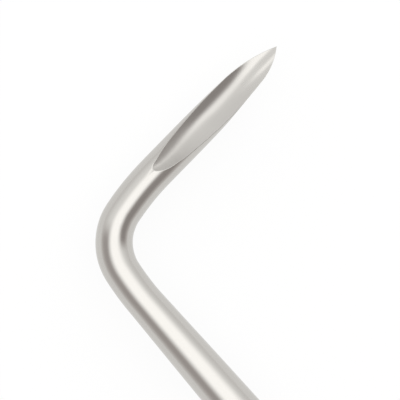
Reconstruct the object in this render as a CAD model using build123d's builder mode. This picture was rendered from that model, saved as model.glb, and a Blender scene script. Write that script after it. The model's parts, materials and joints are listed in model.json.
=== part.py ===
from build123d import *
import os
from math import cos, pi, radians, sin, sqrt, tan

os.makedirs("parts", exist_ok=True)

# A dental root elevator: an angled, hollow-ground working end in a hollow steel handle.
# Millimetres. The handle's axis runs along X with the working end at +X, the arm turns to -Y,
# and the origin is the middle of the flat that the handle rests on.

# Clearances
press_gap = 0.01
slide_gap = 0.02
seal_gap = 0.02

# Working end, which is forged from one bar
arm_length = 26.8
arm_diameter = 3.58
bend_diameter = 3.72
bend_angle = 85.2
bend_radius = 5.5
ease_radius = 28.0
shank_ease_angle = 8.0
arm_ease_angle = 10.5
shank_length = 36.0
shank_root_diameter = 5.0
blade_taper_length = 13.0
blade_taper_slope = 0.02
blade_shoulder_setback = 5.6
blade_shoulder_diameter = 3.2
blade_end_diameter = 3.0

# Hollow-ground face of the blade
face_length = 17.3
heel_slope = 15.5
tip_slope = 3.5
face_offset = 0.4
hollow_radius = 1.0
hollow_wall_angle = 38.0
hollow_floor_angle = 12.0
flank_radius = 6.0
flank_angle = 30.0

# Point of the blade, seen from above: each side is a straight taper that runs into one arc
point_offset = 0.13
point_height = 0.06
left_shoulder_setback = 4.8
left_shoulder_width = 1.55
left_shoulder_angle = 5.3
left_relief_angle = 24.0
right_shoulder_setback = 3.6
right_shoulder_width = 1.28
right_shoulder_angle = 4.8
right_taper_length = 3.0
right_relief_angle = 24.0
side_draft = 30.0
edge_slope = 9.0
grind_width = 3.0
grind_depth = 2.2
grind_height = 3.0
grind_run_out = 1.0

# Handle tube, an octagonal bar that is turned and bored
across_flats = 12.0
facet_count = 8
corner_round_diameter = 12.8
flat_length = 62.0
rear_taper_length = 10.0
neck_length = 14.0
tube_rear_diameter = 11.4
neck_diameter = 8.8
tube_bore_diameter = 8.4
neck_bore_diameter = 6.0
neck_bore_length = 15.0
neck_slope = 0.22
tube_edge_break = 0.3

# Grip rings in turned grooves
ring_width = 2.2
ring_land_width = 1.8
ring_groove_diameter = 10.0
ring_diameter = 11.7
first_ring_offset = 13.0
front_ring_count = 5
rear_ring_count = 3
ring_edge_radius = 0.36

# Nose ferrule
nose_length = 12.0
nose_tip_diameter = 6.2
nose_slope = 0.1
nose_socket_depth = 4.0
nose_spigot_length = 12.0
nose_edge_radius = 0.45

# Tang and the parts that clamp it
tang_diameter = 3.5
tang_protrusion = 1.4
tang_chamfer = 0.4
bush_length = 6.0
bush_edge_break = 0.2
washer_diameter = 7.0
washer_thickness = 0.5
washer_clearance = 0.1
spring_washer_diameter = 6.2
spring_washer_thickness = 0.9
spring_washer_slot = 0.7
nut_side_count = 6
nut_across_flats = 6.0
nut_height = 2.8
nut_chamfer = 0.35
nut_chamfer_angle = 30.0

# Lock pin
pin_diameter = 1.6
pin_length = 10.6
pin_setback = 8.0
pin_chamfer = 0.15

# Seals
seal_width = 1.3
seal_depth = 0.62
seal_corner_radius = 0.25
nose_seal_setback = 3.6
shank_seal_setback = 4.0

# End cap
cap_diameter = 11.0
cap_collar_length = 6.0
cap_dome_length = 7.0
cap_spigot_length = 8.0
cap_bore_diameter = 5.6
cap_bore_depth = 12.0
cap_seal_setback = 4.0

# Places along the handle's axis
axis_height = across_flats / 2
flat_front_x = flat_length / 2
tube_front_x = flat_front_x + neck_length
tube_rear_x = -flat_length / 2 - rear_taper_length
bore_step_x = tube_front_x - neck_bore_length
nose_front_x = tube_front_x + nose_length
socket_floor_x = nose_front_x - nose_socket_depth
spigot_rear_x = tube_front_x - nose_spigot_length
bush_rear_x = bore_step_x - bush_length
washer_rear_x = bush_rear_x - washer_thickness
spring_rear_x = washer_rear_x - spring_washer_thickness
nut_rear_x = spring_rear_x - nut_height
tang_end_x = nut_rear_x - tang_protrusion
pin_x = tube_front_x - pin_setback
nose_seal_x = tube_front_x - nose_seal_setback
shank_seal_x = socket_floor_x - shank_seal_setback
cap_seal_x = tube_rear_x + cap_seal_setback
cap_rear_x = tube_rear_x - cap_collar_length - cap_dome_length
corner_x = nose_front_x + shank_length
ring_step = ring_width + ring_land_width
front_rings = [first_ring_offset + i * ring_step for i in range(front_ring_count)]
rear_rings = [-first_ring_offset - i * ring_step for i in range(rear_ring_count)]
ring_places = rear_rings[::-1] + front_rings

# The bend turns in three arcs, and its ends are measured from the corner of the bars' centrelines
shank_ease_end = radians(shank_ease_angle)
arm_ease_start = radians(bend_angle - arm_ease_angle)
bend_end = radians(bend_angle)
bend_run = (
    ease_radius * sin(shank_ease_end)
    + bend_radius * (sin(arm_ease_start) - sin(shank_ease_end))
    + ease_radius * (sin(bend_end) - sin(arm_ease_start))
)
bend_drop = (
    ease_radius * (1 - cos(shank_ease_end))
    + bend_radius * (cos(shank_ease_end) - cos(arm_ease_start))
    + ease_radius * (cos(arm_ease_start) - cos(bend_end))
)
arm_setback = bend_drop / sin(bend_end)
shank_setback = bend_run - bend_drop / tan(bend_end)
bend_start_x = corner_x - shank_setback

# Planes and axes
handle_axis = Axis((0, 0, axis_height), (1, 0, 0))
side_plane = Plane(origin=(0, 0, axis_height), x_dir=(1, 0, 0), z_dir=(0, -1, 0))
corner_point = Vector(corner_x, 0, axis_height)
arm_direction = Vector(cos(radians(bend_angle)), -sin(radians(bend_angle)), 0)
across_direction = Vector(arm_direction.Y, -arm_direction.X, 0)
up_direction = Vector(0, 0, 1)
arm_plane = Plane(origin=corner_point, x_dir=arm_direction, z_dir=across_direction)


def cross_plane(x):
    """A plane across the handle at x, facing forward."""
    return Plane(origin=(x, 0, axis_height), x_dir=(0, 1, 0), z_dir=(1, 0, 0))


def ring_of_section(inner_radius, outer_radius, width, middle_x, corner_radius):
    """A ring about the handle's axis with a rounded rectangular section."""
    with BuildPart() as ring:
        with BuildSketch(side_plane):
            with Locations((middle_x, (inner_radius + outer_radius) / 2)):
                RectangleRounded(width, outer_radius - inner_radius, corner_radius)
        revolve(axis=handle_axis)
    return ring.part


def relief_exit(start, angle):
    """Where a line that leaves the blade's side at an angle reaches the edge of the ground area."""
    rise = grind_width - abs(start[1])
    return (start[0] - rise / tan(radians(abs(angle))), grind_width if angle > 0 else -grind_width)


def save(part, name):
    """Labels a finished piece and writes it to its own file."""
    part.label = name
    export_step(part, "parts/" + name + ".step")


# Hollow grinding: the wheel's axis lies across the arm, above the blade
wheel_radius = face_length / (sin(radians(heel_slope)) - sin(radians(tip_slope)))
heel_distance = arm_length - face_length
heel_height = sqrt((arm_diameter / 2) ** 2 - face_offset**2)
wheel_ahead = heel_distance + wheel_radius * sin(radians(heel_slope))
wheel_above = heel_height + wheel_radius * cos(radians(heel_slope))
wheel_centre = corner_point + arm_direction * wheel_ahead + up_direction * wheel_above
wheel_axis = Axis(wheel_centre, across_direction)
tip_height = wheel_above - wheel_radius * cos(radians(tip_slope))
wheel_lead_in = 2.0
wheel_run_out = 2.0
wheel_section_height = 5.0
wheel_section_width = 8.0

# Working end
with BuildPart() as working_end:
    # The bend: a tight arc between two easy ones, of which the last thins down to the arm
    with BuildLine(Plane.XY.offset(axis_height)):
        shank_ease = JernArc((bend_start_x, 0), (1, 0), ease_radius, -shank_ease_angle)
        tight_angle = bend_angle - shank_ease_angle - arm_ease_angle
        tight_arc = JernArc(shank_ease @ 1, shank_ease % 1, bend_radius, -tight_angle)
    with BuildSketch(cross_plane(bend_start_x)):
        Circle(bend_diameter / 2)
    sweep()
    with BuildLine(Plane.XY.offset(axis_height)) as arm_ease:
        JernArc(tight_arc @ 1, tight_arc % 1, ease_radius, -arm_ease_angle)
    with BuildSketch(arm_ease.line ^ 0):
        Circle(bend_diameter / 2)
    with BuildSketch(arm_ease.line ^ 1):
        Circle(arm_diameter / 2)
    sweep(path=arm_ease.line, multisection=True)

    # The shank, which thickens towards the nose, and the tang behind its shoulder
    with BuildSketch(side_plane):
        Polygon(
            (bend_start_x, 0),
            (bend_start_x, bend_diameter / 2),
            (nose_front_x, shank_root_diameter / 2),
            (socket_floor_x, shank_root_diameter / 2),
            (socket_floor_x, tang_diameter / 2),
            (tang_end_x + tang_chamfer, tang_diameter / 2),
            (tang_end_x, tang_diameter / 2 - tang_chamfer),
            (tang_end_x, 0),
            align=None,
        )
    revolve(axis=handle_axis)

    # The arm and the bar that the blade is ground from
    with BuildSketch(arm_plane):
        with BuildLine():
            taper_start = (arm_length - blade_taper_length, arm_diameter / 2)
            arm_edge = Line((arm_setback, arm_diameter / 2), taper_start)
            blade_edge = Spline(
                taper_start,
                (arm_length - blade_shoulder_setback, blade_shoulder_diameter / 2),
                (arm_length, blade_end_diameter / 2),
                tangents=((1, 0), (1, -blade_taper_slope)),
            )
            Polyline(blade_edge @ 1, (arm_length, 0), (arm_setback, 0), arm_edge @ 0)
        make_face()
    revolve(axis=Axis(corner_point, arm_direction))

    # The hollow face, as a wheel with the hollow's section leaves it
    first_angle = radians(heel_slope + wheel_lead_in)
    section_normal = up_direction * sin(first_angle) - arm_direction * cos(first_angle)
    with BuildSketch(Plane(origin=wheel_centre, x_dir=across_direction, z_dir=section_normal)):
        with BuildLine():
            low_point = (-face_offset, -wheel_radius)
            top_y = wheel_section_height - wheel_radius
            wall = JernArc(low_point, (-1, 0), hollow_radius, -hollow_wall_angle)
            wall_run = (top_y - (wall @ 1).Y) / sin(radians(hollow_wall_angle))
            wall_end = wall @ 1 + (wall % 1) * wall_run
            floor = JernArc(low_point, (1, 0), hollow_radius, hollow_floor_angle)
            flank = JernArc(floor @ 1, floor % 1, flank_radius, flank_angle - hollow_floor_angle)
            flank_end = flank @ 1 + (flank % 1) * wheel_section_width / 2
            Polyline(wall @ 1, wall_end, (flank_end.X, top_y), flank_end, flank @ 1)
        make_face()
    revolve(
        axis=wheel_axis,
        revolution_arc=wheel_lead_in + heel_slope - tip_slope + wheel_run_out,
        mode=Mode.SUBTRACT,
    )

    # The point: both sides are ground, and the ground sides lean in under the blade
    tilt = radians(edge_slope)
    grind_plane = Plane(
        origin=corner_point + arm_direction * arm_length + up_direction * (tip_height + point_height),
        x_dir=arm_direction * cos(tilt) - up_direction * sin(tilt),
        z_dir=up_direction * -cos(tilt) - arm_direction * sin(tilt),
    )
    with BuildSketch(grind_plane) as ground_away:
        with BuildLine():
            point = (0, -point_offset)
            right_lean = radians(right_shoulder_angle)
            right_shoulder = (-right_shoulder_setback, right_shoulder_width)
            side_start = (
                -right_shoulder_setback - right_taper_length,
                right_shoulder_width + right_taper_length * tan(right_lean),
            )
            right_exit = relief_exit(side_start, right_relief_angle)
            right_arc = TangentArc(
                right_shoulder, point, tangent=(cos(right_lean), -sin(right_lean))
            )
            Polyline(right_shoulder, side_start, right_exit, (grind_run_out, grind_width))
            Polyline((grind_run_out, grind_width), (grind_run_out, -point_offset), point)
        make_face()
        with BuildLine():
            left_lean = radians(left_shoulder_angle)
            left_shoulder = (-left_shoulder_setback, -left_shoulder_width)
            left_exit = relief_exit(left_shoulder, -left_relief_angle)
            left_arc = TangentArc(left_shoulder, point, tangent=(cos(left_lean), sin(left_lean)))
            Polyline(left_shoulder, left_exit, (grind_run_out, -grind_width))
            Polyline((grind_run_out, -grind_width), (grind_run_out, -point_offset), point)
        make_face()
    extrude(amount=grind_depth, taper=-side_draft, mode=Mode.SUBTRACT)
    extrude(ground_away.sketch, amount=-grind_height, mode=Mode.SUBTRACT)

    # The cross hole for the lock pin
    with BuildSketch(Plane(origin=(pin_x, 0, axis_height))):
        Circle(pin_diameter / 2 + press_gap)
    extrude(amount=tang_diameter, both=True, mode=Mode.SUBTRACT)

# Handle tube
with BuildPart() as handle_tube:
    with BuildSketch(cross_plane(tube_rear_x)):
        RegularPolygon(
            across_flats / 2, facet_count, major_radius=False, rotation=180 / facet_count
        )
    extrude(amount=tube_front_x - tube_rear_x)
    with BuildSketch(side_plane):
        with BuildLine():
            rear_edge = (tube_rear_x, tube_rear_diameter / 2)
            rear_corner = (-flat_front_x, corner_round_diameter / 2)
            front_corner = (flat_front_x, corner_round_diameter / 2)
            front_edge = (tube_front_x, neck_diameter / 2)
            rear_line = TangentArc(rear_corner, rear_edge, tangent=(-1, 0))
            Line(rear_corner, front_corner)
            Spline(front_corner, front_edge, tangents=((1, 0), (1, -neck_slope)))
            Polyline(front_edge, (tube_front_x, 0), (tube_rear_x, 0), rear_edge)
        make_face()
    revolve(axis=handle_axis, mode=Mode.INTERSECT)
    # The bore from the rear and the smaller one that takes the nose's spigot
    with BuildSketch(cross_plane(tube_rear_x)):
        Circle(tube_bore_diameter / 2)
    extrude(amount=bore_step_x - tube_rear_x, mode=Mode.SUBTRACT)
    with BuildSketch(cross_plane(bore_step_x)):
        Circle(neck_bore_diameter / 2)
    extrude(amount=neck_bore_length, mode=Mode.SUBTRACT)
    end_faces = handle_tube.faces().sort_by(Axis.X)
    chamfer(end_faces[0].edges().filter_by(GeomType.CIRCLE), tube_edge_break)
    chamfer(end_faces[-1].edges().filter_by(GeomType.CIRCLE), tube_edge_break)
    # Turned grooves for the grip rings
    with BuildSketch(side_plane):
        with Locations(*[(x, across_flats / 2) for x in ring_places]):
            Rectangle(ring_width, across_flats - ring_groove_diameter)
    revolve(axis=handle_axis, mode=Mode.SUBTRACT)
    # The cross hole for the lock pin
    with BuildSketch(Plane(origin=(pin_x, 0, axis_height))):
        Circle(pin_diameter / 2 + press_gap)
    extrude(amount=across_flats, both=True, mode=Mode.SUBTRACT)

# Grip rings
grip_rings = [
    ring_of_section(
        ring_groove_diameter / 2 + seal_gap,
        ring_diameter / 2,
        ring_width - 2 * seal_gap,
        x,
        ring_edge_radius,
    )
    for x in ring_places
]

# Nose ferrule
with BuildPart() as nose_ferrule:
    with BuildSketch(side_plane):
        with BuildLine():
            spigot_radius = neck_bore_diameter / 2 - press_gap
            collar = (tube_front_x, neck_diameter / 2)
            nose_tip = (nose_front_x, nose_tip_diameter / 2)
            Spline(collar, nose_tip, tangents=((1, -neck_slope), (1, -nose_slope)))
            Polyline(
                nose_tip,
                (nose_front_x, shank_root_diameter / 2 + slide_gap),
                (socket_floor_x, shank_root_diameter / 2 + slide_gap),
                (socket_floor_x, tang_diameter / 2 + slide_gap),
                (spigot_rear_x, tang_diameter / 2 + slide_gap),
                (spigot_rear_x, spigot_radius),
                (tube_front_x, spigot_radius),
                collar,
            )
        make_face()
    revolve(axis=handle_axis)
    front_rim = nose_ferrule.edges().filter_by(GeomType.CIRCLE).group_by(Axis.X)[-1]
    fillet(front_rim.sort_by(SortBy.RADIUS)[-1], nose_edge_radius)
    # Seal grooves, one outside on the spigot and one inside on the tang
    with BuildSketch(side_plane):
        with Locations((nose_seal_x, spigot_radius)):
            Rectangle(seal_width, 2 * seal_depth)
        with Locations((shank_seal_x, tang_diameter / 2)):
            Rectangle(seal_width, 2 * seal_depth)
    revolve(axis=handle_axis, mode=Mode.SUBTRACT)
    with BuildSketch(Plane(origin=(pin_x, 0, axis_height))):
        Circle(pin_diameter / 2 + press_gap)
    extrude(amount=neck_bore_diameter, both=True, mode=Mode.SUBTRACT)

# Seals, drawn as they sit squeezed in their grooves
nose_seal = ring_of_section(
    spigot_radius - seal_depth + seal_gap,
    neck_bore_diameter / 2 - seal_gap,
    seal_width - 2 * seal_gap,
    nose_seal_x,
    seal_corner_radius,
)
shank_seal = ring_of_section(
    tang_diameter / 2 + seal_gap,
    tang_diameter / 2 + seal_depth - seal_gap,
    seal_width - 2 * seal_gap,
    shank_seal_x,
    seal_corner_radius,
)
cap_spigot_radius = tube_bore_diameter / 2 - press_gap
cap_seal = ring_of_section(
    cap_spigot_radius - seal_depth + seal_gap,
    tube_bore_diameter / 2 - seal_gap,
    seal_width - 2 * seal_gap,
    cap_seal_x,
    seal_corner_radius,
)

# Bush that centres the tang in the tube and takes the nut's pull
with BuildPart() as tang_bush:
    with BuildSketch(cross_plane(bush_rear_x)):
        Circle(tube_bore_diameter / 2 - press_gap)
        Circle(tang_diameter / 2 + slide_gap, mode=Mode.SUBTRACT)
    extrude(amount=bush_length)
    chamfer(tang_bush.edges().filter_by(GeomType.CIRCLE), bush_edge_break)

# Flat washer
with BuildPart() as flat_washer:
    with BuildSketch(cross_plane(washer_rear_x)):
        Circle(washer_diameter / 2)
        Circle(tang_diameter / 2 + washer_clearance, mode=Mode.SUBTRACT)
    extrude(amount=washer_thickness)

# Split spring washer, drawn flat as it is when the nut is tight
with BuildPart() as spring_washer:
    with BuildSketch(cross_plane(spring_rear_x)):
        Circle(spring_washer_diameter / 2)
        Circle(tang_diameter / 2 + washer_clearance, mode=Mode.SUBTRACT)
        with Locations((spring_washer_diameter / 2, 0)):
            Rectangle(spring_washer_diameter, spring_washer_slot, mode=Mode.SUBTRACT)
    extrude(amount=spring_washer_thickness)

# Nut on the tang's threaded end
with BuildPart() as tang_nut:
    with BuildSketch(cross_plane(nut_rear_x)):
        RegularPolygon(nut_across_flats / 2, nut_side_count, major_radius=False)
        Circle(tang_diameter / 2 + press_gap, mode=Mode.SUBTRACT)
    extrude(amount=nut_height)
    with BuildSketch(side_plane):
        nut_corner = nut_across_flats / 2 / cos(pi / nut_side_count)
        chamfer_run = nut_chamfer * tan(radians(nut_chamfer_angle))
        Polygon(
            (nut_rear_x, 0),
            (nut_rear_x, nut_corner - nut_chamfer),
            (nut_rear_x + chamfer_run, nut_corner),
            (spring_rear_x - chamfer_run, nut_corner),
            (spring_rear_x, nut_corner - nut_chamfer),
            (spring_rear_x, 0),
            align=None,
        )
    revolve(axis=handle_axis, mode=Mode.INTERSECT)

# Lock pin through tube, spigot and tang
with BuildPart() as lock_pin:
    with BuildSketch(Plane(origin=(pin_x, 0, axis_height - pin_length / 2))):
        Circle(pin_diameter / 2)
    extrude(amount=pin_length)
    chamfer(lock_pin.edges().filter_by(GeomType.CIRCLE), pin_chamfer)

# End cap
with BuildPart() as end_cap:
    with BuildSketch(side_plane):
        with BuildLine():
            collar_rear_x = tube_rear_x - cap_collar_length
            spigot_front = (tube_rear_x + cap_spigot_length, cap_spigot_radius)
            Polyline(
                (cap_rear_x, 0),
                (spigot_front[0], 0),
                spigot_front,
                (tube_rear_x, cap_spigot_radius),
                (tube_rear_x, cap_diameter / 2),
                (collar_rear_x, cap_diameter / 2),
            )
            EllipticalCenterArc(
                (collar_rear_x, 0), cap_dome_length, cap_diameter / 2, start_angle=90, arc_size=90
            )
        make_face()
    revolve(axis=handle_axis)
    with BuildSketch(cross_plane(tube_rear_x + cap_spigot_length)):
        Circle(cap_bore_diameter / 2)
    extrude(amount=-cap_bore_depth, mode=Mode.SUBTRACT)
    with BuildSketch(side_plane):
        with Locations((cap_seal_x, cap_spigot_radius)):
            Rectangle(seal_width, 2 * seal_depth)
    revolve(axis=handle_axis, mode=Mode.SUBTRACT)

save(working_end.part, "working_end")
save(handle_tube.part, "handle_tube")
save(nose_ferrule.part, "nose_ferrule")
save(nose_seal, "nose_seal")
save(shank_seal, "shank_seal")
save(tang_bush.part, "tang_bush")
save(flat_washer.part, "flat_washer")
save(spring_washer.part, "spring_washer")
save(tang_nut.part, "tang_nut")
save(lock_pin.part, "lock_pin")
save(end_cap.part, "end_cap")
save(cap_seal, "cap_seal")
for number, grip_ring in enumerate(grip_rings, start=1):
    save(grip_ring, "grip_ring_" + str(number))
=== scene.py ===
import bpy
import json
from math import atan2, cos, cosh, erf, hypot, log, pi, radians, sin, sqrt, tan
from mathutils import Matrix, Vector


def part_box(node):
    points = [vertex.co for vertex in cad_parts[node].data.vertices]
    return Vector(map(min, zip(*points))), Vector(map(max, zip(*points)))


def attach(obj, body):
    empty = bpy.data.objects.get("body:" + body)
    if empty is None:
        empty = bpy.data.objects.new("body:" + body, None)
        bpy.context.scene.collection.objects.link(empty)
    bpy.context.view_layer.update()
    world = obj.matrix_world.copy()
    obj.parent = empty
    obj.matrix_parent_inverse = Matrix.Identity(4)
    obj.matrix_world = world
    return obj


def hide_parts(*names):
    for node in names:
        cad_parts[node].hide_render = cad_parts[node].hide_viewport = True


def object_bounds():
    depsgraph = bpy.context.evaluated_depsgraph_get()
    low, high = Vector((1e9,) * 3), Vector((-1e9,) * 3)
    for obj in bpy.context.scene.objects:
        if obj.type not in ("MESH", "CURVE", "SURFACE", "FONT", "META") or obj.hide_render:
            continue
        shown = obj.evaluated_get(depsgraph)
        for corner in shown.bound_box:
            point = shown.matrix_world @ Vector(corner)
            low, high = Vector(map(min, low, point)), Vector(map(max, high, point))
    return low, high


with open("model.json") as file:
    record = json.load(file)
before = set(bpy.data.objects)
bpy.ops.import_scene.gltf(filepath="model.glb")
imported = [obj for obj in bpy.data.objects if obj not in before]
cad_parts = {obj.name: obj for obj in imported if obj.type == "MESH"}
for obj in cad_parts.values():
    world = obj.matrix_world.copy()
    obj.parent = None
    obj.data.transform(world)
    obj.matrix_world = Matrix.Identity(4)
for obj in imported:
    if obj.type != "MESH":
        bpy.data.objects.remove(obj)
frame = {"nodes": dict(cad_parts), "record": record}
cad_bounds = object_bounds()

# The dental elevator of the frame, seen as in the photograph: straight down on the blade's hollow face.
# The scene is in metres, and MM turns them into millimetres. The handle runs along X, the arm turns to -Y
# and the hollow face looks up. PIXEL is what one pixel of the photograph spans on the blade.

MM = 1000.0
PICTURE = 400
PIXEL = 0.0001
CORNER_PIXEL = (90.4, 239.05)
SHANK_LENGTH = 0.036
CAMERA_DISTANCE = 0.7
CLIP_NEAR, CLIP_FAR = 0.01, 20.0
SENSOR = 36.0
IMAGE_RIGHT_ANGLE = radians(-130.9)

nose_low, nose_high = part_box("nose_ferrule")
corner_x = nose_high[0] + SHANK_LENGTH
axis_height = (nose_low[2] + nose_high[2]) / 2
image_right = Vector((cos(IMAGE_RIGHT_ANGLE), sin(IMAGE_RIGHT_ANGLE), 0))
image_up = Vector((-sin(IMAGE_RIGHT_ANGLE), cos(IMAGE_RIGHT_ANGLE), 0))


def add_camera():
    """The camera looks straight down, and the corner of the bend lies at its pixel of the photograph."""
    corner = Vector((corner_x, 0, axis_height))
    right_of_middle = (CORNER_PIXEL[0] - PICTURE / 2) * PIXEL
    above_middle = (PICTURE / 2 - CORNER_PIXEL[1]) * PIXEL
    middle = corner - image_right * right_of_middle - image_up * above_middle
    data = bpy.data.cameras.new("camera")
    data.sensor_width = SENSOR
    data.lens = SENSOR * CAMERA_DISTANCE / (PICTURE * PIXEL)
    data.clip_start = CLIP_NEAR
    data.clip_end = CLIP_FAR
    camera = bpy.data.objects.new("camera", data)
    axes = (
        (image_right.x, image_up.x, 0, 0),
        (image_right.y, image_up.y, 0, 0),
        (0, 0, 1, 0),
        (0, 0, 0, 1),
    )
    camera.matrix_world = Matrix.Translation(middle + Vector((0, 0, CAMERA_DISTANCE))) @ Matrix(axes)
    bpy.context.scene.collection.objects.link(camera)
    bpy.context.scene.camera = camera


# The working end's shape in millimetres and degrees, from the photograph as far as that shows it. The path
# runs from the tang's end up the shank, round three arcs and along the arm. Along is measured from the
# corner of the two axes, and across from the arm's own axis. An arc is its radius and angle. A row of the
# bend radii is an angle of the bend and the bar's radius there.
ARM_LENGTH = 26.8
BEND_ARCS = ((28.0, 8.0), (5.5, 66.7), (28.0, 10.5))
BEND_ANGLE = sum(angle for radius, angle in BEND_ARCS)
BEND_RADII = ((0.0, 1.86), (8.0, 1.86), (30.0, 1.88), (60.0, 1.86), (75.0, 1.82), (85.2, 1.79))
BEND_STEP_ANGLE = 1.1
SHANK_ROOT_RADIUS = 2.5
SHANK_SWELL = 0.05
SHANK_STEPS = 12
SOCKET_DEPTH = 4.0
TANG_RADIUS = 1.75
TANG_CHAMFER = 0.4
BLADE_TAPER_START = 13.8
BLADE_TAPER_DROP = 0.587
BLADE_STEP = 0.06
SIDE_COUNT = 96

# The hollow, by its lowest line. Each row is the place along and across, the height, the wall's slope and
# rounding, and the floor's slope, rounding and curve.
HOLLOW_LINE = (
    (9.3, -0.42, 1.745, 0.50, 0.30, 0.55, 0.20, 0.10),
    (9.6, -0.40, 1.60, 0.50, 0.35, 0.42, 0.20, 0.15),
    (10.2, -0.24, 1.42, 0.72, 0.55, 0.38, 0.20, 0.24),
    (10.8, -0.18, 1.22, 0.78, 0.68, 0.34, 0.20, 0.32),
    (11.6, -0.15, 1.03, 0.78, 0.80, 0.34, 0.22, 0.34),
    (12.4, -0.18, 0.89, 0.76, 0.88, 0.32, 0.30, 0.22),
    (14.0, -0.28, 0.732, 0.70, 0.95, 0.34, 0.34, 0.08),
    (16.0, -0.37, 0.46, 0.80, 1.05, 0.33, 0.42, 0.05),
    (18.0, -0.32, 0.17, 0.85, 1.30, 0.36, 0.50, 0.05),
    (20.0, -0.38, 0.01, 0.85, 1.25, 0.33, 0.45, 0.07),
    (21.0, -0.42, -0.04, 0.80, 1.20, 0.33, 0.42, 0.07),
    (22.0, -0.50, -0.08, 0.68, 1.10, 0.36, 0.40, 0.06),
    (22.8, -0.58, -0.14, 0.36, 0.55, 0.38, 0.42, 0.05),
    (23.6, -0.60, -0.20, 0.22, 0.42, 0.42, 0.42, 0.03),
    (24.4, -0.64, -0.25, 0.13, 0.36, 0.42, 0.40, 0.03),
    (25.4, -0.58, -0.31, 0.06, 0.30, 0.42, 0.34, 0.03),
    (26.8, -0.52, -0.37, 0.03, 0.30, 0.42, 0.30, 0.03),
)
HOLLOW_START = HOLLOW_LINE[0][0]
RIPPLE_PLACE = 0.46
RIPPLE_WIDTH = 0.30
RIPPLE_SPAN = (19.5, 24.8)
RIPPLE_DEPTH = 0.62
GROUND_EDGE = (-0.02, 0.08)
POLISHED_SPAN = (20.5, 24.5)
POLISHED_SHARE = 0.75
EDGE_SOFTNESS = 0.02
# Painted shade along the hollow's edge, darkening the colour where its highlight would be: how far it
# reaches, as the difference in height between bar and hollow, and the span along the arm where it fades in.
PAINTED_SHADE_REACH = 0.09
PAINTED_SHADE_SPAN = (HOLLOW_START, HOLLOW_LINE[2][0])
RIM_ROUND = (0.06, 0.04)
RIM_SPAN = (21.0, 24.5)
BACK_SPAN = (17.5, 26.8)
BACK_END = 0.52

# The point: each side runs straight up to its shoulder and then into one arc. A shoulder is its place
# along, the half width there and the side's angle. Below the face the sides lean inwards by the draft.
POINT_OFFSET = -0.13
LEFT_SHOULDER = (21.6, 1.555, 5.6)
RIGHT_SHOULDER = (23.2, 1.28, 4.8)
SIDE_SOFTNESS = 0.04
SIDE_DRAFT = 14.0


def between(first, second, share):
    return first + (second - first) * share


def smooth_step(low, high, value):
    share = min(1.0, max(0.0, (value - low) / (high - low)))
    return share * share * (3 - 2 * share)


def rising_step(low, high, value):
    """The first half of a smooth step, doubled: level at low, and 1 at high, where it is steepest."""
    return 2 * smooth_step(low, 2 * high - low, value)


def soft_min(first, second, softness):
    """The smaller value, with a rounded change where the two cross."""
    overlap = max(softness - abs(first - second), 0.0) / softness
    return min(first, second) - overlap * overlap * softness / 4


def along_points(points, place):
    """Follows a few points, with a smooth step from each one to the next."""
    for (low, start), (high, end) in zip(points, points[1:]):
        if place <= high:
            return between(start, end, smooth_step(low, high, place))
    return points[-1][1]


def bar_radius(along):
    share = max(0.0, (along - BLADE_TAPER_START) / (ARM_LENGTH - BLADE_TAPER_START))
    return BEND_RADII[-1][1] - BLADE_TAPER_DROP * share * share


def side_width(along, shoulder, tip_width):
    """Half the ground point's width on one side: straight up to the shoulder, then an arc to the tip."""
    start, width, angle = shoulder
    if along <= start:
        return width + (start - along) * tan(radians(angle))
    run, fall = ARM_LENGTH - start, width - tip_width
    chord = hypot(run, fall)
    radius = chord / (2 * sin(atan2(fall, run) - radians(angle)))
    centre_along = start - radius * sin(radians(angle))
    centre_width = width - radius * cos(radians(angle))
    return centre_width + sqrt(max(0.0, radius**2 - (along - centre_along) ** 2))


def hollow_line(along):
    """The hollow's values at a place along the blade, on smooth curves through the chosen rows."""
    last = len(HOLLOW_LINE) - 1
    passed = sum(1 for row in HOLLOW_LINE if row[0] <= along) - 1
    i = min(last - 1, max(0, passed))
    before, start, end, after = (HOLLOW_LINE[min(last, max(0, i + k))] for k in (-1, 0, 1, 2))
    gap = end[0] - start[0]
    t = (along - start[0]) / gap
    values = []
    for column in range(1, len(start)):
        slope_in = (end[column] - before[column]) / (end[0] - before[0]) * gap
        slope_out = (after[column] - start[column]) / (after[0] - start[0]) * gap
        values.append(
            start[column] * (1 + 2 * t) * (1 - t) ** 2
            + slope_in * t * (1 - t) ** 2
            + end[column] * t * t * (3 - 2 * t)
            + slope_out * t * t * (t - 1)
        )
    return values


def rounded_slope(off, slope, rounding):
    """A rise that starts level at the hollow's lowest line and turns into a straight slope."""
    return slope * rounding * log(cosh(off / rounding))


def hollow_height(along, across):
    """The hollow's surface: a wall left of its lowest line, and right of it a faintly rippled floor."""
    trough, height, wall, wall_round, floor, floor_round, curve = hollow_line(along)
    off = across - trough
    if off < 0:
        return height + rounded_slope(off, wall, wall_round)
    ripple = floor * RIPPLE_DEPTH * smooth_step(*RIPPLE_SPAN, along) * RIPPLE_WIDTH * sqrt(pi) / 2
    start = erf((trough - RIPPLE_PLACE) / RIPPLE_WIDTH)
    ripple *= erf((across - RIPPLE_PLACE) / RIPPLE_WIDTH) - start
    return height + rounded_slope(off, floor, floor_round) + curve * off**2 / 2 - ripple


def rim_drop(depth, rim):
    """How far a rounded rim falls at this distance from the edge."""
    if depth >= rim:
        return 0.0
    return rim - sqrt(max(0.0, rim**2 - (rim - depth) ** 2))


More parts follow.
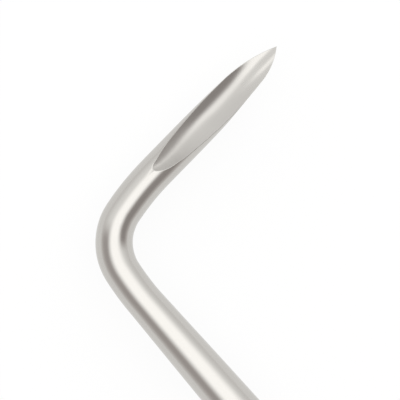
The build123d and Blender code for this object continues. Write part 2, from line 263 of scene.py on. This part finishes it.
def blade_section(along):
    """Points (across, height, ground share, painted shade at the hollow's edge) round the blade's section.
    """
    radius = bar_radius(along)
    left_ground = side_width(along, LEFT_SHOULDER, -POINT_OFFSET)
    right_ground = side_width(along, RIGHT_SHOULDER, POINT_OFFSET)
    left = soft_min(radius, left_ground, SIDE_SOFTNESS)
    right = soft_min(radius, right_ground, SIDE_SOFTNESS)
    middle, half = (right - left) / 2, (right + left) / 2
    rim = between(*RIM_ROUND, smooth_step(*RIM_SPAN, along))
    back = between(radius, BACK_END, rising_step(*BACK_SPAN, along))
    top, bottom = [], []
    for i in range(SIDE_COUNT + 1):
        across = middle - half * cos(pi * i / SIDE_COUNT)
        bar = sqrt(max(0.0, radius**2 - across**2))
        height, ground, painted_edge_shade = bar, 0.0, 0.0
        if along >= HOLLOW_START:
            hollow = hollow_height(along, across)
            ground = smooth_step(*GROUND_EDGE, bar - hollow)
            ground *= 1 - POLISHED_SHARE * smooth_step(*POLISHED_SPAN, along)
            # Painted shade: the share of darkening along the hollow's edge, in place of the highlight
            # there.
            painted_edge_shade = max(0.0, 1 - abs(bar - hollow) / PAINTED_SHADE_REACH)
            painted_edge_shade *= smooth_step(*PAINTED_SHADE_SPAN, along)
            hollow -= rim_drop(across + left, rim) + rim_drop(right - across, rim)
            height = soft_min(bar, hollow, EDGE_SOFTNESS) if bar > EDGE_SOFTNESS else min(bar, hollow)
        top.append((across, height, ground, painted_edge_shade))
    lean = tan(radians(90 - SIDE_DRAFT))
    for across, height, ground, painted_edge_shade in top[1:-1]:
        low = -back * sqrt(max(0.0, 1 - (across / radius) ** 2))
        low = max(low, top[0][1] - (across + left_ground) * lean)
        low = max(low, top[-1][1] - (right_ground - across) * lean)
        bottom.append((across, min(low, height), 0.0, 0.0))
    return top + bottom[::-1]


def round_section(radius):
    """A circle with the same points as a blade section."""
    turns = [pi - pi * i / SIDE_COUNT for i in range(2 * SIDE_COUNT)]
    return [(radius * cos(turn), radius * sin(turn), 0.0, 0.0) for turn in turns]


def path_stations():
    """Stations (x, y, angle turned, section) along the path, from the tang's end to the blade's tip."""
    nose_front = nose_high[0] * MM
    tang_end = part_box("working_end")[0][0] * MM
    corner = nose_front + SHANK_LENGTH * MM
    run = drop = turned = 0.0
    for radius, angle in BEND_ARCS:
        run += radius * (sin(radians(turned + angle)) - sin(radians(turned)))
        drop += radius * (cos(radians(turned)) - cos(radians(turned + angle)))
        turned += angle
    arm_setback = drop / sin(radians(turned))
    bend_start = corner - run + arm_setback * cos(radians(turned))
    socket_floor = nose_front - SOCKET_DEPTH

    def straight(x, radius):
        return (x, 0.0, 0.0, round_section(radius))

    stations = [
        straight(tang_end, TANG_RADIUS - TANG_CHAMFER),
        straight(tang_end + TANG_CHAMFER, TANG_RADIUS),
        straight(socket_floor, TANG_RADIUS),
        straight(socket_floor, SHANK_ROOT_RADIUS),
        straight(nose_front, SHANK_ROOT_RADIUS),
    ]
    for i in range(1, SHANK_STEPS):
        share = i / SHANK_STEPS
        radius = between(SHANK_ROOT_RADIUS, BEND_RADII[0][1], share) + SHANK_SWELL * sin(pi * share)
        stations.append(straight(between(nose_front, bend_start, share), radius))
    x, y, turned = bend_start, 0.0, 0.0
    for radius, angle in BEND_ARCS:
        steps = round(angle / BEND_STEP_ANGLE)
        step = angle / steps
        chord = 2 * radius * sin(radians(step / 2))
        for i in range(steps):
            stations.append((x, y, turned, round_section(along_points(BEND_RADII, turned))))
            x += chord * cos(radians(turned + step / 2))
            y -= chord * sin(radians(turned + step / 2))
            turned += step
    arm = Vector((cos(radians(turned)), -sin(radians(turned))))
    count = round((ARM_LENGTH - arm_setback) / BLADE_STEP)
    for i in range(count + 1):
        along = arm_setback + (ARM_LENGTH - arm_setback) * i / count
        stations.append((corner + arm.x * along, arm.y * along, turned, blade_section(along)))
    return stations


def add_working_end():
    """One smooth skin from tang to blade, with the hollow's and the point's edges softened."""
    vertices, shares, faces = [], {"ground": [], "painted_edge_shade": []}, []
    ring = 2 * SIDE_COUNT
    stations = path_stations()
    for x, y, turned, section in stations:
        across_x, across_y = -sin(radians(turned)), -cos(radians(turned))
        for across, height, ground, painted_edge_shade in section:
            place = (x + across * across_x, y + across * across_y, axis_height * MM + height)
            vertices.append(tuple(value / MM for value in place))
            shares["ground"].append(ground)
            shares["painted_edge_shade"].append(painted_edge_shade)
    for i in range(len(stations) - 1):
        for j in range(ring):
            a, b = i * ring + j, i * ring + (j + 1) % ring
            faces.append((a, b, b + ring, a + ring))
    faces.append(tuple(reversed(range(ring))))
    last = (len(stations) - 1) * ring
    faces.append(tuple(range(last, last + ring)))
    data = bpy.data.meshes.new("working_end_skin")
    data.from_pydata(vertices, [], faces)
    data.validate()
    for name, values in shares.items():
        data.attributes.new(name, "FLOAT", "POINT").data.foreach_set("value", values)
    data.polygons.foreach_set("use_smooth", [True] * len(data.polygons))
    skin = bpy.data.objects.new("working_end_skin", data)
    bpy.context.scene.collection.objects.link(skin)
    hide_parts("working_end")
    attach(skin, "root")
    return skin


def shaded(color, factor):
    """An opaque colour, darker or lighter by a factor."""
    return tuple(min(1.0, c * factor) for c in color) + (1,)


class Nodes:
    """Short calls that add nodes to one node tree and join them."""

    def __init__(self, tree):
        self.tree = tree
        tree.nodes.clear()

    def add(self, kind, **settings):
        node = self.tree.nodes.new(kind)
        for name, value in settings.items():
            setattr(node, name, value)
        return node

    def set(self, socket, value):
        """Joins a socket to another one, or gives it a value."""
        if isinstance(value, bpy.types.NodeSocket):
            self.tree.links.new(value, socket)
        else:
            socket.default_value = value

    def math(self, operation, first, second=0.0):
        node = self.add("ShaderNodeMath", operation=operation)
        self.set(node.inputs[0], first)
        self.set(node.inputs[1], second)
        return node.outputs[0]

    def part_along(self, x, y, degrees):
        """How far the point (x, y) lies in a direction of the picture plane."""
        part_x = self.math("MULTIPLY", x, cos(radians(degrees)))
        part_y = self.math("MULTIPLY", y, sin(radians(degrees)))
        return self.math("ADD", part_x, part_y)

    def dot(self, vector, direction):
        node = self.add("ShaderNodeVectorMath", operation="DOT_PRODUCT")
        self.set(node.inputs[0], vector)
        node.inputs[1].default_value = direction
        return node.outputs["Value"]

    def scaled(self, vector, factors):
        node = self.add("ShaderNodeVectorMath", operation="MULTIPLY")
        self.set(node.inputs[0], vector)
        node.inputs[1].default_value = factors
        return node.outputs[0]

    def millimetres(self):
        """The place on the object, in millimetres."""
        return self.scaled(self.add("ShaderNodeTexCoord").outputs["Object"], (MM, MM, MM))

    def attribute(self, name):
        return self.add("ShaderNodeAttribute", attribute_name=name).outputs["Fac"]

    def ramp(self, value, low, high, to_low=0.0, to_high=1.0):
        """A smooth step of value from low to high."""
        node = self.add("ShaderNodeMapRange", interpolation_type="SMOOTHSTEP")
        self.set(node.inputs["Value"], value)
        node.inputs["From Min"].default_value = low
        node.inputs["From Max"].default_value = high
        node.inputs["To Min"].default_value = to_low
        node.inputs["To Max"].default_value = to_high
        return node.outputs["Result"]

    def vary(self, value, middle, reach):
        """Maps 0 to 1 onto middle minus reach to middle plus reach, without clamping."""
        node = self.add("ShaderNodeMapRange", clamp=False)
        self.set(node.inputs["Value"], value)
        node.inputs["To Min"].default_value = middle - reach
        node.inputs["To Max"].default_value = middle + reach
        return node.outputs["Result"]

    def mix(self, factor, first, second):
        """Blends two numbers."""
        node = self.add("ShaderNodeMix", data_type="FLOAT")
        self.set(node.inputs[0], factor)
        self.set(node.inputs[2], first)
        self.set(node.inputs[3], second)
        return node.outputs[0]

    def mix_color(self, factor, first, second):
        """Blends two colours."""
        node = self.add("ShaderNodeMix", data_type="RGBA")
        self.set(node.inputs[0], factor)
        self.set(node.inputs[6], first)
        self.set(node.inputs[7], second)
        return node.outputs[2]

    def mottle(self, factor, color, contrast):
        """A colour that goes from darker to lighter by this share as the factor goes from 0 to 1."""
        return self.mix_color(factor, shaded(color, 1 - contrast), shaded(color, 1 + contrast))

    def noise(self, vector, scale, detail, roughness):
        node = self.add("ShaderNodeTexNoise")
        self.set(node.inputs["Vector"], vector)
        node.inputs["Scale"].default_value = scale
        node.inputs["Detail"].default_value = detail
        node.inputs["Roughness"].default_value = roughness
        return node.outputs["Fac"]

    def bump(self, height, distance, normal=None):
        node = self.add("ShaderNodeBump")
        self.set(node.inputs["Height"], height)
        node.inputs["Distance"].default_value = distance
        if normal is not None:
            self.set(node.inputs["Normal"], normal)
        return node.outputs["Normal"]


# The studio, given by where its light stands about the camera's axis, in degrees as the photograph's
# picture plane has them: azimuth 0 is the picture's right, 90 its top; polar 0 is the camera.
BOX_CENTRE = (4.0, 6.0)
BOX_HALF_SIZES = (38.0, 28.0)
BOX_AZIMUTH = 35.0
BOX_EDGE = (0.42, 1.45)
BOX_LIGHT = 1.6
MID_LIGHT = (1.06, 0.84)
MID_SPAN = (42.0, 84.0)
MID_HORIZON = (84.0, 104.0)
DARK_LEFT_LIGHT = 0.50
DARK_RIGHT_LIGHT = 0.38
DARK_SPLIT = (-60.0, 60.0)
DARK_AZIMUTH = -94.0
DARK_SECTOR = (90.0, 106.0)
DARK_HORIZON = (58.0, 106.0)
DARK_COLOR = (1.0, 0.935, 0.915, 1)
SURROUND_LIGHT = 1.0
DIFFUSE_GAIN = 1.2
SMALLEST_SINE = 1e-4
WHITE = (1, 1, 1, 1)


def add_studio():
    """A soft overhead light, a darker front and white surroundings, as one smooth function of direction."""
    world = bpy.data.worlds.new("studio")
    bpy.context.scene.world = world
    world.use_nodes = True
    n = Nodes(world.node_tree)
    direction = n.add("ShaderNodeTexCoord").outputs["Generated"]
    right = n.dot(direction, image_right)
    up = n.dot(direction, image_up)
    toward = n.dot(direction, (0, 0, 1))
    polar = n.math("DEGREES", n.math("ARCCOSINE", toward))
    sine = n.math("SQRT", n.math("SUBTRACT", 1.0, n.math("POWER", toward, 2.0)))
    sine = n.math("MAXIMUM", sine, SMALLEST_SINE)
    x = n.math("MULTIPLY", polar, n.math("DIVIDE", right, sine))
    y = n.math("MULTIPLY", polar, n.math("DIVIDE", up, sine))

    # The overhead box is an ellipse with soft edges
    dx = n.math("SUBTRACT", x, BOX_CENTRE[0])
    dy = n.math("SUBTRACT", y, BOX_CENTRE[1])
    squares = []
    for azimuth, half_size in zip((BOX_AZIMUTH, BOX_AZIMUTH + 90), BOX_HALF_SIZES):
        reach = n.math("DIVIDE", n.part_along(dx, dy, azimuth), half_size)
        squares.append(n.math("POWER", reach, 2.0))
    box = n.ramp(n.math("SQRT", n.math("ADD", *squares)), *BOX_EDGE, 1.0, 0.0)

    # The dark front is a sector around its own azimuth, darker on its right
    toward_dark = n.part_along(right, up, DARK_AZIMUTH)
    off_dark = n.math("DEGREES", n.math("ARCCOSINE", n.math("DIVIDE", toward_dark, sine)))
    in_dark = n.ramp(off_dark, *DARK_SECTOR, 1.0, 0.0)
    dark = n.ramp(x, *DARK_SPLIT, DARK_LEFT_LIGHT, DARK_RIGHT_LIGHT)
    dark = n.mix(n.ramp(polar, *DARK_HORIZON), dark, SURROUND_LIGHT)
    mid = n.ramp(polar, *MID_SPAN, *MID_LIGHT)
    mid = n.mix(n.ramp(polar, *MID_HORIZON), mid, SURROUND_LIGHT)
    light = n.mix(box, n.mix(in_dark, mid, dark), BOX_LIGHT)

    # The camera itself sees plain white, and the light from the darker parts is a little warm
    path = n.add("ShaderNodeLightPath")
    light = n.math("MULTIPLY", light, n.mix(path.outputs["Is Diffuse Ray"], 1.0, DIFFUSE_GAIN))
    strength = n.mix(path.outputs["Is Camera Ray"], light, SURROUND_LIGHT)
    bright = n.ramp(light, DARK_RIGHT_LIGHT, SURROUND_LIGHT)
    bright = n.math("MAXIMUM", bright, path.outputs["Is Camera Ray"])
    background = n.add("ShaderNodeBackground")
    n.set(background.inputs["Strength"], strength)
    n.set(background.inputs["Color"], n.mix_color(bright, DARK_COLOR, WHITE))
    output = n.add("ShaderNodeOutputWorld")
    n.set(output.inputs["Surface"], background.outputs[0])


# The floor glows white for the camera, and a little less in reflections. The shade is the share of it that
# takes light and shadow instead.
FLOOR_HALF = 4.0
FLOOR_SHADE = 0.12
FLOOR_GLOSS = 0.92
FLOOR_COLOR = (0.97, 0.97, 0.97, 1)


def add_floor():
    """A white floor under the resting flat, which keeps a faint share of the object's shadow."""
    data = bpy.data.meshes.new("floor")
    low = cad_bounds[0][2]
    square = [(-1, -1), (1, -1), (1, 1), (-1, 1)]
    data.from_pydata([(x * FLOOR_HALF, y * FLOOR_HALF, low) for x, y in square], [], [(0, 1, 2, 3)])
    floor = bpy.data.objects.new("floor", data)
    bpy.context.scene.collection.objects.link(floor)
    material = bpy.data.materials.new("floor")
    material.use_nodes = True
    n = Nodes(material.node_tree)
    diffuse = n.add("ShaderNodeBsdfDiffuse")
    diffuse.inputs["Color"].default_value = FLOOR_COLOR
    white = n.add("ShaderNodeEmission")
    path = n.add("ShaderNodeLightPath")
    n.set(white.inputs["Strength"], n.mix(path.outputs["Is Glossy Ray"], SURROUND_LIGHT, FLOOR_GLOSS))
    seen = n.math("MAXIMUM", path.outputs["Is Camera Ray"], path.outputs["Is Glossy Ray"])
    seen = n.math("MAXIMUM", seen, path.outputs["Is Transmission Ray"])
    mix = n.add("ShaderNodeMixShader")
    n.set(mix.inputs[0], n.math("MULTIPLY", seen, 1.0 - FLOOR_SHADE))
    n.set(mix.inputs[1], diffuse.outputs[0])
    n.set(mix.inputs[2], white.outputs[0])
    output = n.add("ShaderNodeOutputMaterial")
    n.set(output.inputs["Surface"], mix.outputs[0])
    data.materials.append(material)


# The materials. A grain or cloud is a noise's scale, detail and roughness; a contrast is a share of the
# colour; depths and radii are in metres, and spans in millimetres along the arm.
BLADE_COLOR = (0.60, 0.583, 0.553)
BLADE_ROUGHNESS = 0.16
BLADE_ROUGHNESS_SHARE = 0.15
BLADE_CLOUD = (0.5, 2.0, 0.5)
BLADE_GRAIN = (3.0, 3.0, 0.6)
BLADE_CONTRAST = 0.015
# The colour's factor for the painted shade along the hollow's edge.
PAINTED_SHADE_FACTOR = 0.62
GROUND_SHADE = 0.88
GROUND_SPAN = (11.5, 17.5)
GROUND_ROUGHNESS = (0.50, 0.30)
GROUND_ROUGHNESS_SHARE = 0.1
GROUND_CONTRAST = 0.04
GROUND_DEPTH = 0.5e-6
GROUND_LINES = (0.25, 6.0)
STREAK_GRAIN = (1.0, 3.0, 0.6)
METAL_CLOUD = (0.35, 2.0, 0.5)
METAL_CONTRAST = 0.03
METAL_ROUGHNESS_SHARE = 0.2
METAL_CLOUD_ROUGHNESS = 0.02
METAL_EDGE_RADIUS = 0.00006
METAL_EDGE_SAMPLES = 6
RUBBER_ROUGHNESS = 0.55
RUBBER_ROUGHNESS_REACH = 0.1
RUBBER_GRAIN = (9.0, 4.0, 0.65)
RUBBER_CLOUD = (0.9, 2.0, 0.5)
RUBBER_CONTRAST = 0.15
RUBBER_SHEEN = 0.15
RUBBER_DEPTH = 4e-6

# Each metal's name, colour, roughness, the scale of its streaks along each axis, and their depth. The
# streaks are long where the scale is small.
METALS = (
    ("handle_steel", (0.56, 0.55, 0.535), 0.30, (9.0, 0.8, 0.8), 0.8e-6),
    ("cap_steel", (0.60, 0.585, 0.565), 0.20, (8.0, 0.5, 0.5), 0.4e-6),
    ("nose_steel", (0.60, 0.585, 0.565), 0.20, (8.0, 0.5, 0.5), 0.4e-6),
    ("pin_steel", (0.52, 0.51, 0.50), 0.28, (6.0, 6.0, 0.5), 0.4e-6),
    ("fastener_steel", (0.54, 0.53, 0.52), 0.32, (6.0, 2.0, 2.0), 0.4e-6),
    ("bush_brass", (0.74, 0.56, 0.28), 0.30, (8.0, 0.5, 0.5), 0.4e-6),
)
RUBBERS = (("grip_silicone", (0.035, 0.05, 0.06)), ("seal_silicone", (0.35, 0.07, 0.04)))


def new_material(name, metallic=0.0):
    material = bpy.data.materials.new(name)
    material.use_nodes = True
    n = Nodes(material.node_tree)
    shader = n.add("ShaderNodeBsdfPrincipled")
    shader.inputs["Metallic"].default_value = metallic
    output = n.add("ShaderNodeOutputMaterial")
    n.set(output.inputs["Surface"], shader.outputs[0])
    return material, n, shader


def blade_steel(name):
    """Polished stainless steel whose hollow is left as ground: duller, with fine lines along it, and a
    painted shade along the hollow's edge.
    """
    material, n, shader = new_material(name, 1.0)
    place = n.millimetres()
    ground = n.attribute("ground")
    arm = (cos(radians(BEND_ANGLE)), -sin(radians(BEND_ANGLE)), 0)
    along = n.math("SUBTRACT", n.dot(place, arm), corner_x * MM * arm[0])
    lines = n.add("ShaderNodeCombineXYZ")
    n.set(lines.inputs[0], n.math("MULTIPLY", along, GROUND_LINES[0]))
    n.set(lines.inputs[1], n.math("MULTIPLY", n.dot(place, (arm[1], -arm[0], 0)), GROUND_LINES[1]))
    grinding = n.noise(lines.outputs[0], *STREAK_GRAIN)
    polished = n.mottle(n.noise(place, *BLADE_CLOUD), BLADE_COLOR, BLADE_CONTRAST)
    dull = n.mottle(grinding, tuple(c * GROUND_SHADE for c in BLADE_COLOR), GROUND_CONTRAST)
    color = n.mix_color(ground, polished, dull)
    # Painted shade: the steel is darker along the hollow's edge, to put out its highlight.
    color = n.mix_color(n.attribute("painted_edge_shade"), color, shaded(BLADE_COLOR, PAINTED_SHADE_FACTOR))
    n.set(shader.inputs["Base Color"], color)
    smooth = n.vary(n.noise(place, *BLADE_GRAIN), BLADE_ROUGHNESS, BLADE_ROUGHNESS * BLADE_ROUGHNESS_SHARE)
    rough = n.ramp(along, *GROUND_SPAN, *GROUND_ROUGHNESS)
    rough = n.math("MULTIPLY", rough, n.vary(grinding, 1.0, GROUND_ROUGHNESS_SHARE))
    n.set(shader.inputs["Roughness"], n.mix(ground, smooth, rough))
    n.set(shader.inputs["Normal"], n.bump(n.math("MULTIPLY", ground, grinding), GROUND_DEPTH))
    return material


def metal(name, color, roughness, streaks, streak_depth):
    """Polished metal: fine streaks, faint clouding and softened edges."""
    material, n, shader = new_material(name, 1.0)
    place = n.millimetres()
    fine = n.noise(n.scaled(place, streaks), *STREAK_GRAIN)
    broad = n.noise(place, *METAL_CLOUD)
    n.set(shader.inputs["Base Color"], n.mottle(broad, color, METAL_CONTRAST))
    rough = n.vary(fine, roughness, roughness * METAL_ROUGHNESS_SHARE)
    rough = n.math("ADD", rough, n.vary(broad, 0.0, METAL_CLOUD_ROUGHNESS))
    n.set(shader.inputs["Roughness"], rough)
    bevel = n.add("ShaderNodeBevel", samples=METAL_EDGE_SAMPLES)
    bevel.inputs["Radius"].default_value = METAL_EDGE_RADIUS
    n.set(shader.inputs["Normal"], n.bump(fine, streak_depth, bevel.outputs[0]))
    return material


def rubber(name, color):
    """Moulded silicone: a matte skin with a fine grain and a little mottling."""
    material, n, shader = new_material(name)
    place = n.millimetres()
    grain = n.noise(place, *RUBBER_GRAIN)
    n.set(shader.inputs["Base Color"], n.mottle(n.noise(place, *RUBBER_CLOUD), color, RUBBER_CONTRAST))
    n.set(shader.inputs["Roughness"], n.vary(grain, RUBBER_ROUGHNESS, RUBBER_ROUGHNESS_REACH))
    shader.inputs["Sheen Weight"].default_value = RUBBER_SHEEN
    n.set(shader.inputs["Normal"], n.bump(grain, RUBBER_DEPTH))
    return material


def dress():
    """Gives each node of the frame the material of its slot."""
    made = {"blade_steel": blade_steel("blade_steel")}
    made.update({row[0]: metal(*row) for row in METALS})
    made.update({row[0]: rubber(*row) for row in RUBBERS})
    slots = {row["node"]: row["material_slot"] for row in frame["record"]["subparts"]}
    for name, node in frame["nodes"].items():
        node.data.materials.clear()
        node.data.materials.append(made[slots[name]])
    return made


add_camera()
add_studio()
add_floor()
made = dress()
working_end_skin = add_working_end()
working_end_skin.data.materials.append(made["blade_steel"])

bpy.context.scene.view_settings.view_transform = "Standard"
